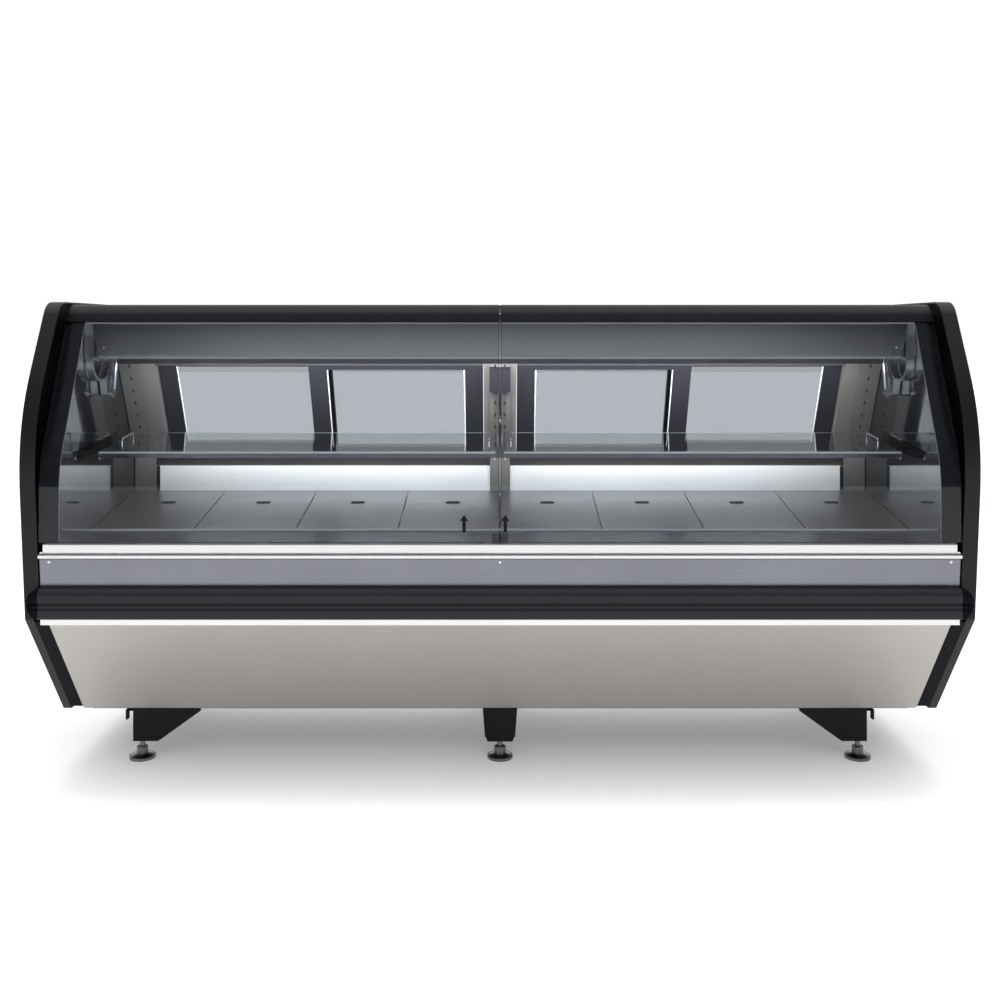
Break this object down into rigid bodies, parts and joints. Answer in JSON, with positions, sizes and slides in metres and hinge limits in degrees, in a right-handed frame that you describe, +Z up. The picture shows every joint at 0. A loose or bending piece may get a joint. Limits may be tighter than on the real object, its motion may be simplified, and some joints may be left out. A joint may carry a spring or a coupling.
{
  "type": "refrigerated deli display case",
  "caption": "Free-standing refrigerated deli case with lifting curved front glass, glass shelf, lit hood, sliding rear doors and levelling feet.",
  "frame": {"origin": "centre of the footprint, on the floor", "axes": "+X to the right as the customer faces the case, along its length; -Y is the front; +Z is up"},
  "size_m": [2.5, 0.92, 1.328],
  "materials": {
    "aluminium_trims": "bright anodised",
    "base_frame": "satin powder coat",
    "black_end_mouldings": "black satin",
    "centre_cover": "black",
    "centre_rod": "bright",
    "compressor": "gloss black",
    "condenser_coil": "mill finish fins",
    "control_box": "black",
    "deck_trays": "fine satin brush",
    "door_frame": "black",
    "door_glass": "clear tempered",
    "door_tracks": "dark anodised",
    "end_liners": "glossy dark grey",
    "end_panel": "black, moulded, slight sheen",
    "evaporator_coil": "mill finish fins",
    "fan": "black",
    "fan_motors": "black",
    "foot": "zinc plated",
    "front_bumper": "black satin extrusion",
    "front_fascia": "fine satin brush",
    "front_glass": "clear tempered, black printed border",
    "front_ledge": "polished",
    "glass_catch": "black",
    "hinge_hardware": "machined",
    "lamp_tubes": "opal diffuser",
    "legs": "black satin",
    "lift_arm": "bright",
    "light_hood": "mirror polish",
    "lower_front_panel": "fine satin brush",
    "power_switch": "green rocker",
    "rear_frame": "fine satin brush",
    "rear_lower_panel": "satin grey",
    "rear_work_shelf": "fine satin brush",
    "shelf_brackets": "bright",
    "shelf_front_trims": "bright",
    "shelf_glass": "clear tempered",
    "shelf_uprights": "polished",
    "strut_cylinder": "gloss black",
    "strut_rod": "ground and polished",
    "top_panel": "black satin",
    "tub_insulation": "rigid foam",
    "tub_liner": "polished"
  },
  "bodies": {
    "case": {"base_frame": "base_frame", "legs": "legs", "end_panel_left": "end_panel", "end_panel_right": "end_panel", "end_liners": "end_liners", "black_end_mouldings": "black_end_mouldings", "lower_front_panel": "lower_front_panel", "aluminium_trims": "aluminium_trims", "front_bumper": "front_bumper", "front_fascia": "front_fascia", "glass_catch": "glass_catch", "front_ledge": "front_ledge", "tub_liner": "tub_liner", "tub_insulation": "tub_insulation", "deck_trays": "deck_trays", "top_panel": "top_panel", "light_hood": "light_hood", "lamp_tubes": "lamp_tubes", "shelf_uprights": "shelf_uprights", "shelf_glass": "shelf_glass", "shelf_front_trims": "shelf_front_trims", "shelf_brackets": "shelf_brackets", "centre_cover": "centre_cover", "centre_rod": "centre_rod", "door_tracks": "door_tracks", "rear_frame": "rear_frame", "rear_work_shelf": "rear_work_shelf", "rear_lower_panel": "rear_lower_panel", "hinge_hardware": "hinge_hardware", "compressor": "compressor", "condenser_coil": "condenser_coil", "evaporator_coil": "evaporator_coil", "fan_motors": "fan_motors", "control_box": "control_box"},
    "glass_left": {"front_glass_left": "front_glass", "lift_arm_left": "lift_arm"},
    "strut_top_left": {"strut_rod_left": "strut_rod"},
    "strut_bottom_left": {"strut_cylinder_left": "strut_cylinder"},
    "glass_right": {"front_glass_right": "front_glass", "lift_arm_right": "lift_arm"},
    "strut_top_right": {"strut_rod_right": "strut_rod"},
    "strut_bottom_right": {"strut_cylinder_right": "strut_cylinder"},
    "door_left_outer": {"door_frame_left_outer": "door_frame", "door_glass_left_outer": "door_glass"},
    "door_left_inner": {"door_frame_left_inner": "door_frame", "door_glass_left_inner": "door_glass"},
    "door_right_inner": {"door_frame_right_inner": "door_frame", "door_glass_right_inner": "door_glass"},
    "door_right_outer": {"door_frame_right_outer": "door_frame", "door_glass_right_outer": "door_glass"},
    "switch": {"power_switch": "power_switch"},
    "condenser_wheel": {"condenser_fan": "fan"},
    "evaporator_wheel": {"evaporator_fan": "fan"},
    "leveller_front_left": {"foot_front_left": "foot"},
    "leveller_rear_left": {"foot_rear_left": "foot"},
    "leveller_front_centre": {"foot_front_centre": "foot"},
    "leveller_rear_centre": {"foot_rear_centre": "foot"},
    "leveller_front_right": {"foot_front_right": "foot"},
    "leveller_rear_right": {"foot_rear_right": "foot"}
  },
  "joints": [
    {"name": "glass_lift_left", "type": "hinge", "parent": "case", "child": "glass_left", "pos_m": [-0.6, -0.148, 1.306], "axis": [-1, 0, 0], "range_deg": [0, 30]},
    {"name": "strut_swing_left", "type": "hinge", "parent": "case", "child": "strut_top_left", "pos_m": [-1.165, 0.068, 1.291], "axis": [-1, 0, 0], "range_deg": [0, 21.5]},
    {"name": "strut_slide_left", "type": "slide", "parent": "strut_top_left", "child": "strut_bottom_left", "axis": [0, -0.295, -0.9555], "range_m": [0, 0.104]},
    {"name": "glass_lift_right", "type": "hinge", "parent": "case", "child": "glass_right", "pos_m": [0.6, -0.148, 1.306], "axis": [-1, 0, 0], "range_deg": [0, 30]},
    {"name": "strut_swing_right", "type": "hinge", "parent": "case", "child": "strut_top_right", "pos_m": [1.165, 0.068, 1.291], "axis": [-1, 0, 0], "range_deg": [0, 21.5]},
    {"name": "strut_slide_right", "type": "slide", "parent": "strut_top_right", "child": "strut_bottom_right", "axis": [0, -0.295, -0.9555], "range_m": [0, 0.104]},
    {"name": "door_slide_left_outer", "type": "slide", "parent": "case", "child": "door_left_outer", "axis": [1, 0, 0], "range_m": [0, 0.47]},
    {"name": "door_slide_left_inner", "type": "slide", "parent": "case", "child": "door_left_inner", "axis": [-1, 0, 0], "range_m": [0, 0.47]},
    {"name": "door_slide_right_inner", "type": "slide", "parent": "case", "child": "door_right_inner", "axis": [1, 0, 0], "range_m": [0, 0.47]},
    {"name": "door_slide_right_outer", "type": "slide", "parent": "case", "child": "door_right_outer", "axis": [-1, 0, 0], "range_m": [0, 0.47]},
    {"name": "switch_rock", "type": "hinge", "parent": "case", "child": "switch", "pos_m": [0.848, 0.407, 0.672], "axis": [1, 0, 0], "range_deg": [0, 8]},
    {"name": "condenser_fan_spin", "type": "hinge", "parent": "case", "child": "condenser_wheel", "pos_m": [0.43, 0.18, 0.338], "axis": [1, 0, 0], "continuous": true},
    {"name": "evaporator_fan_spin", "type": "hinge", "parent": "case", "child": "evaporator_wheel", "pos_m": [0, 0.04, 0.622], "axis": [0, 1, 0], "continuous": true},
    {"name": "foot_turn_front_left", "type": "hinge", "parent": "case", "child": "leveller_front_left", "pos_m": [-1.046, -0.093, 0.02], "axis": [0, 0, 1], "continuous": true},
    {"name": "foot_turn_rear_left", "type": "hinge", "parent": "case", "child": "leveller_rear_left", "pos_m": [-1.046, 0.34, 0.02], "axis": [0, 0, 1], "continuous": true},
    {"name": "foot_turn_front_centre", "type": "hinge", "parent": "case", "child": "leveller_front_centre", "pos_m": [0, -0.093, 0.02], "axis": [0, 0, 1], "continuous": true},
    {"name": "foot_turn_rear_centre", "type": "hinge", "parent": "case", "child": "leveller_rear_centre", "pos_m": [0, 0.34, 0.02], "axis": [0, 0, 1], "continuous": true},
    {"name": "foot_turn_front_right", "type": "hinge", "parent": "case", "child": "leveller_front_right", "pos_m": [1.046, -0.093, 0.02], "axis": [0, 0, 1], "continuous": true},
    {"name": "foot_turn_rear_right", "type": "hinge", "parent": "case", "child": "leveller_rear_right", "pos_m": [1.046, 0.34, 0.02], "axis": [0, 0, 1], "continuous": true}
  ],
  "couplings": [
    {"joint": "strut_swing_left", "follows": "glass_lift_left", "ratio": 0.7046},
    {"joint": "strut_slide_left", "follows": "glass_lift_left", "m_per_rad": 0.19651},
    {"joint": "strut_swing_right", "follows": "glass_lift_right", "ratio": 0.7046},
    {"joint": "strut_slide_right", "follows": "glass_lift_right", "m_per_rad": 0.19651}
  ]
}
